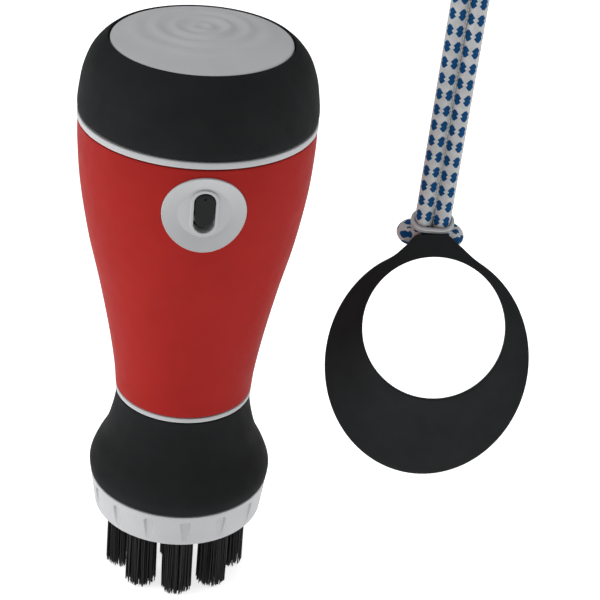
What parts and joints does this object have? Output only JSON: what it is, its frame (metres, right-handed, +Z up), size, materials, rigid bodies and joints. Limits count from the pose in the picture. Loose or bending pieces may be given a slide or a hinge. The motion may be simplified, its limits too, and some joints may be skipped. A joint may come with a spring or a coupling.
{
  "type": "club groove brush",
  "caption": "Hand-held golf club brush with a tapered body, press-top water pump, slide switch and tufted head, with a soft hanging ring on a doubled cord.",
  "frame": {"origin": "on the brush's axis, in the plane of the bristle tips that it stands on", "axes": "+Z up the brush from the bristles to the push button; the slide switch faces -Y; the holder ring hangs on the +X side"},
  "size_m": [0.112, 0.0562, 0.1906],
  "materials": {
    "red_plastic": "satin moulded, lightly textured",
    "black_soft": "soft-touch matte",
    "grey_plastic": "satin moulded",
    "black_gloss": "satin moulded",
    "black_rubber": "matte elastomer",
    "seal_rubber": "matte",
    "bristle": "nylon filament",
    "tank_plastic": "translucent moulded",
    "inner_plastic": "plain moulded",
    "braided_cord": "round braid with dark blue tracer yarns",
    "steel": "bright"
  },
  "bodies": {
    "brush": {"flared_housing": "black_soft", "water_spreader": "inner_plastic", "valve_seat": "inner_plastic", "check_valve": "seal_rubber", "lower_trim_ring": "grey_plastic", "body_shell": "red_plastic", "water_tank": "tank_plastic", "outlet_tube": "inner_plastic", "switch_bezel": "grey_plastic", "bezel_nut": "inner_plastic", "detent_spring": "steel", "upper_trim_ring": "grey_plastic"},
    "cap_seal_carrier": {"cap_seal": "seal_rubber"},
    "cap": {"top_cap": "black_soft", "pump_cylinder": "inner_plastic", "pump_screw_1": "steel", "pump_screw_2": "steel", "pump_screw_3": "steel", "return_spring": "steel"},
    "button": {"push_button": "grey_plastic", "plunger": "inner_plastic", "plunger_seal": "seal_rubber"},
    "switch": {"switch_knob": "black_gloss", "switch_slide_plate": "inner_plastic"},
    "gasket_carrier": {"head_gasket": "seal_rubber"},
    "head": {"collar_ring": "grey_plastic", "brush_plate": "grey_plastic", "tuft_centre": "bristle", "tuft_1": "bristle", "tuft_2": "bristle", "tuft_3": "bristle", "tuft_4": "bristle", "tuft_5": "bristle", "tuft_6": "bristle", "tuft_7": "bristle", "tuft_8": "bristle", "tuft_9": "bristle"},
    "hanger": {"split_ring": "steel"},
    "lanyard": {"cord_end_clamp": "black_gloss", "lanyard_cord": "braided_cord", "cord_keeper": "grey_plastic", "holder_ring": "black_rubber"}
  },
  "joints": [
    {"name": "cap_lift", "type": "slide", "parent": "brush", "child": "cap_seal_carrier", "axis": [0, 0, 1], "range_m": [0, 0.006]},
    {"name": "cap_turn", "type": "hinge", "parent": "cap_seal_carrier", "child": "cap", "pos_m": [0, 0, 0.1254], "axis": [0, 0, 1], "range_deg": [0, 360]},
    {"name": "button_press", "type": "slide", "parent": "cap", "child": "button", "axis": [0, 0, -1], "range_m": [0, 0.004], "stiffness_N_per_m": 900, "springref_m": -0.003, "deforming": ["return_spring"]},
    {"name": "switch_slide", "type": "slide", "parent": "brush", "child": "switch", "axis": [0, 0.0767, -0.9971], "range_m": [0, 0.0014]},
    {"name": "head_drop", "type": "slide", "parent": "brush", "child": "gasket_carrier", "axis": [0, 0, -1], "range_m": [0, 0.006]},
    {"name": "head_turn", "type": "hinge", "parent": "gasket_carrier", "child": "head", "pos_m": [0, 0, 0.0254], "axis": [0, 0, -1], "range_deg": [0, 360]},
    {"name": "holder_lift", "type": "slide", "parent": "brush", "child": "hanger", "axis": [0, 0, 1], "range_m": [0, 0.06]},
    {"name": "holder_swing", "type": "hinge", "parent": "hanger", "child": "lanyard", "pos_m": [0.06114, 0.00221, 0.1747], "axis": [0.9848, -0.1736, 0], "range_deg": [-20, 20]}
  ],
  "couplings": [
    {"joint": "cap_lift", "follows": "cap_turn", "m_per_rad": 0.000954},
    {"joint": "head_drop", "follows": "head_turn", "m_per_rad": 0.000954}
  ]
}
